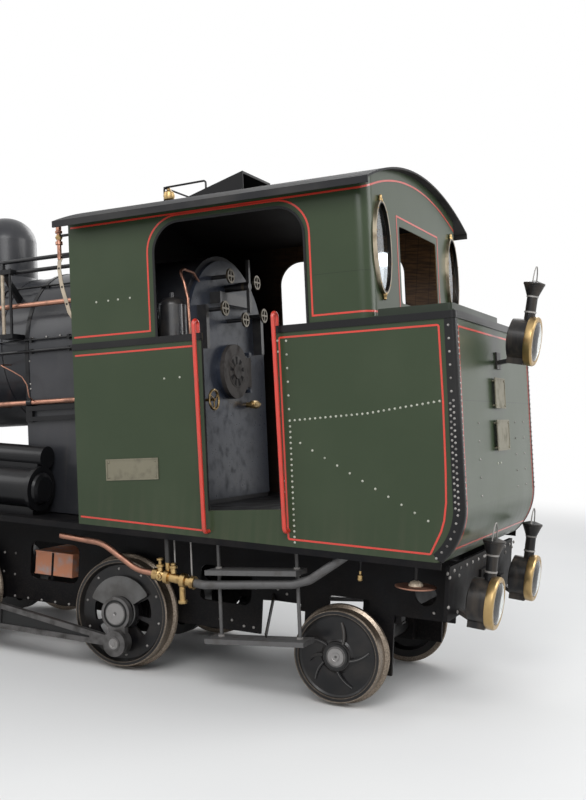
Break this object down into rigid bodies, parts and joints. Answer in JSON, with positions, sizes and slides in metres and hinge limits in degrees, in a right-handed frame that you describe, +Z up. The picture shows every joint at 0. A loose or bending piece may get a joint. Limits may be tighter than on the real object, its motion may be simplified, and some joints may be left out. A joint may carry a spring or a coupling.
{
  "type": "steam locomotive",
  "caption": "Small rack steam locomotive with a raked boiler and cab, rocking-lever side drive, rear coal bunker and round lamps.",
  "frame": {"origin": "middle of the overall box at the level of the driven wheels' flanges", "axes": "+X ahead to the chimney end, +Y to the driver's left, +Z up"},
  "size_m": [6.403, 2.426, 3.7933],
  "materials": {
    "green": "gloss",
    "black": "satin",
    "red": "satin",
    "steel": "worn",
    "iron": "rough",
    "brass": "polished",
    "copper": "polished",
    "glass": "clear",
    "roof": "matt",
    "casing": "gloss"
  },
  "bodies": {
    "engine": {"ashpan": "iron", "axleboxes_and_springs": "iron", "backhead": "black", "backhead_fittings": "brass", "body_belt": "black", "boiler_barrel": "casing", "boiler_rails_and_rods": "black", "buffer_beams": "black", "bunker": "green", "cab_end_walls": "green", "cab_floor": "iron", "cab_handrails": "red", "cab_roof": "roof", "cab_sides": "green", "cab_steps": "iron", "copper_pipes": "copper", "cylinders_and_slide_bars": "steel", "dome_and_safety_valves": "casing", "firebox_casing": "casing", "footplate": "black", "injectors": "brass", "lamps": "black", "main_frame": "black", "roof_ventilator": "roof", "smokebox_and_chimney": "black", "suction_pipes": "steel", "window_glass": "glass", "window_rims": "brass"},
    "axle_driven_rear": {"axle_driven_rear": "iron", "wheels_driven_rear": "iron"},
    "axle_driven_front": {"axle_driven_front": "iron", "wheels_driven_front": "iron"},
    "axle_trailing": {"axle_trailing": "iron", "wheels_trailing": "iron"},
    "coupling_rod_left": {"coupling_rod_left": "steel"},
    "main_rod_left": {"main_rod_left": "steel"},
    "rocker_left": {"rocker_left": "iron"},
    "crosshead_left": {"crosshead_left": "steel"},
    "coupling_rod_right": {"coupling_rod_right": "steel"},
    "main_rod_right": {"main_rod_right": "steel"},
    "rocker_right": {"rocker_right": "iron"},
    "crosshead_right": {"crosshead_right": "steel"},
    "smokebox_door": {"smokebox_door": "black"},
    "fire_door": {"fire_door": "iron"}
  },
  "joints": [
    {"name": "rear_driven_axle_turn", "type": "hinge", "parent": "engine", "child": "axle_driven_rear", "pos_m": [-0.371, 0, 0.4255], "axis": [0, 1, 0], "continuous": true},
    {"name": "front_driven_axle_turn", "type": "hinge", "parent": "engine", "child": "axle_driven_front", "pos_m": [1.229, 0, 0.4255], "axis": [0, 1, 0], "continuous": true},
    {"name": "trailing_axle_turn", "type": "hinge", "parent": "engine", "child": "axle_trailing", "pos_m": [-2.1, 0, 0.342], "axis": [0, 1, 0], "continuous": true},
    {"name": "coupling_rod_left_pivot", "type": "hinge", "parent": "axle_driven_rear", "child": "coupling_rod_left", "pos_m": [-0.40204, 0.908, 0.21781], "axis": [0, 1, 0], "continuous": true},
    {"name": "coupling_rod_right_pivot", "type": "hinge", "parent": "axle_driven_rear", "child": "coupling_rod_right", "pos_m": [-0.57869, -0.908, 0.45654], "axis": [0, 1, 0], "continuous": true},
    {"name": "rocker_left_swing", "type": "hinge", "parent": "engine", "child": "rocker_left", "pos_m": [2.35, 0.965, 0.93], "axis": [0, 1, 0], "range_deg": [-37.5, 25]},
    {"name": "main_rod_left_pivot", "type": "hinge", "parent": "rocker_left", "child": "main_rod_left", "pos_m": [2.30483, 0.961, 0.52803], "axis": [0, 1, 0], "range_deg": [-25.2, 37.7]},
    {"name": "crosshead_left_slide", "type": "slide", "parent": "engine", "child": "crosshead_left", "axis": [1, 0, 0], "range_m": [-0.2252, 0.1504]},
    {"name": "rocker_right_swing", "type": "hinge", "parent": "engine", "child": "rocker_right", "pos_m": [2.35, -0.965, 0.93], "axis": [0, 1, 0], "range_deg": [-62, 0.5]},
    {"name": "main_rod_right_pivot", "type": "hinge", "parent": "rocker_right", "child": "main_rod_right", "pos_m": [2.14208, -0.961, 0.58303], "axis": [0, 1, 0], "range_deg": [-0.7, 62.2]},
    {"name": "crosshead_right_slide", "type": "slide", "parent": "engine", "child": "crosshead_right", "axis": [1, 0, 0], "range_m": [-0.3716, 0.004]},
    {"name": "smokebox_door_hinge", "type": "hinge", "parent": "engine", "child": "smokebox_door", "pos_m": [2.78316, -0.536, 2.18138], "axis": [-0.0995, 0, -0.995], "range_deg": [0, 105]},
    {"name": "fire_door_hinge", "type": "hinge", "parent": "engine", "child": "fire_door", "pos_m": [-0.81012, -0.257, 2.25726], "axis": [0.0995, 0, 0.995], "range_deg": [0, 110]}
  ],
  "couplings": [
    {"joint": "front_driven_axle_turn", "follows": "rear_driven_axle_turn", "ratio": 1},
    {"joint": "coupling_rod_left_pivot", "follows": "rear_driven_axle_turn", "ratio": -1},
    {"joint": "coupling_rod_right_pivot", "follows": "rear_driven_axle_turn", "ratio": -1},
    {"joint": "main_rod_left_pivot", "follows": "rocker_left_swing", "ratio": -1},
    {"joint": "crosshead_left_slide", "follows": "rocker_left_swing", "m_per_rad": 0.3425},
    {"joint": "main_rod_right_pivot", "follows": "rocker_right_swing", "ratio": -1},
    {"joint": "crosshead_right_slide", "follows": "rocker_right_swing", "m_per_rad": 0.3425}
  ]
}
